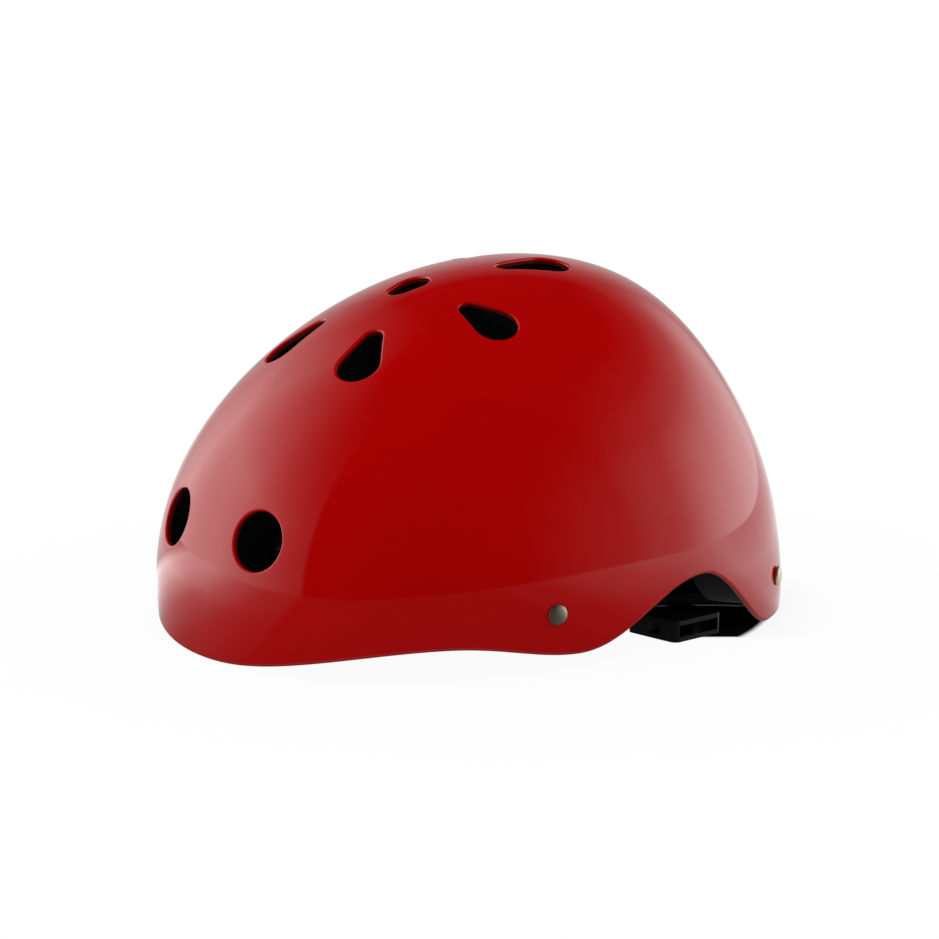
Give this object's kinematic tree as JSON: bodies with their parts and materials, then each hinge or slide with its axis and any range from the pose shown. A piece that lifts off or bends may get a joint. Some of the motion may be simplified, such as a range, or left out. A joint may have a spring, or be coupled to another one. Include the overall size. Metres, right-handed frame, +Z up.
{
  "type": "skate helmet",
  "caption": "Full-cut skate helmet: glossy vented hard shell, foam liner, comfort pads and a riveted webbing chin harness with a side-release buckle, tucked inside.",
  "frame": {"origin": "centre of the helmet footprint, at the level of the rim's lowest points, on which it stands", "axes": "+X towards the brow, +Y towards the wearer's left, +Z up to the crown"},
  "size_m": [0.2749, 0.2224, 0.154],
  "materials": {
    "shell_abs": "injection moulded, high gloss",
    "liner_foam": "expanded bead foam, dull",
    "pad_fabric": "brushed knit over foam",
    "hook_dot": "hook-and-loop",
    "rivet_steel": "nickel plated",
    "washer_steel": "zinc plated",
    "webbing": "woven, slight sheen",
    "keeper_rubber": "matt",
    "buckle_acetal": "moulded satin"
  },
  "bodies": {
    "helmet": {"outer_shell": "shell_abs", "eps_liner": "liner_foam", "brow_pad": "pad_fabric", "crown_pad": "pad_fabric", "side_pad_left": "pad_fabric", "side_pad_right": "pad_fabric", "nape_pad": "pad_fabric", "hook_dots": "hook_dot", "front_rivet_left": "rivet_steel", "front_rivet_right": "rivet_steel", "rear_rivet_left": "rivet_steel", "rear_rivet_right": "rivet_steel", "front_washer_left": "washer_steel", "front_washer_right": "washer_steel", "rear_washer_left": "washer_steel", "rear_washer_right": "washer_steel", "front_tab_left": "webbing", "front_tab_right": "webbing", "rear_tab_left": "webbing", "rear_tab_right": "webbing"},
    "yoke_left": {"front_leg_left": "webbing", "rear_leg_left": "webbing", "divider_left": "buckle_acetal"},
    "yoke_right": {"front_leg_right": "webbing", "rear_leg_right": "webbing", "divider_right": "buckle_acetal"},
    "chin_left": {"chin_strap_left": "webbing", "buckle_socket": "buckle_acetal"},
    "chin_right": {"chin_strap_right": "webbing", "tail_keeper": "keeper_rubber", "buckle_plug": "buckle_acetal"},
    "prong_front": {"latch_prong_front": "buckle_acetal"},
    "prong_rear": {"latch_prong_rear": "buckle_acetal"}
  },
  "joints": [
    {"name": "yoke_left_swing", "type": "hinge", "parent": "helmet", "child": "yoke_left", "pos_m": [0.03001, 0.09761, 0.00675], "axis": [0.9938, 0.1104, 0.0146], "range_deg": [0, 100]},
    {"name": "yoke_right_swing", "type": "hinge", "parent": "helmet", "child": "yoke_right", "pos_m": [0.03001, -0.09761, 0.00675], "axis": [-0.9938, 0.1104, -0.0146], "range_deg": [0, 100]},
    {"name": "chin_left_swing", "type": "hinge", "parent": "yoke_left", "child": "chin_left", "pos_m": [-0.03703, 0.03796, 0.00485], "axis": [-0.9938, -0.1104, -0.0146], "range_deg": [0, 250]},
    {"name": "chin_right_swing", "type": "hinge", "parent": "yoke_right", "child": "chin_right", "pos_m": [-0.03703, -0.03796, 0.00485], "axis": [0.9938, -0.1104, 0.0146], "range_deg": [0, 250]},
    {"name": "prong_front_squeeze", "type": "hinge", "parent": "chin_right", "child": "prong_front", "pos_m": [-0.03308, -0.08568, 0.0053], "axis": [0.0147, 0.0002, -0.9999], "range_deg": [0, 7], "stiffness_Nm_per_rad": 0.6},
    {"name": "prong_rear_squeeze", "type": "hinge", "parent": "chin_right", "child": "prong_rear", "pos_m": [-0.05137, -0.08365, 0.00503], "axis": [-0.0147, -0.0002, 0.9999], "range_deg": [0, 7], "stiffness_Nm_per_rad": 0.6}
  ]
}
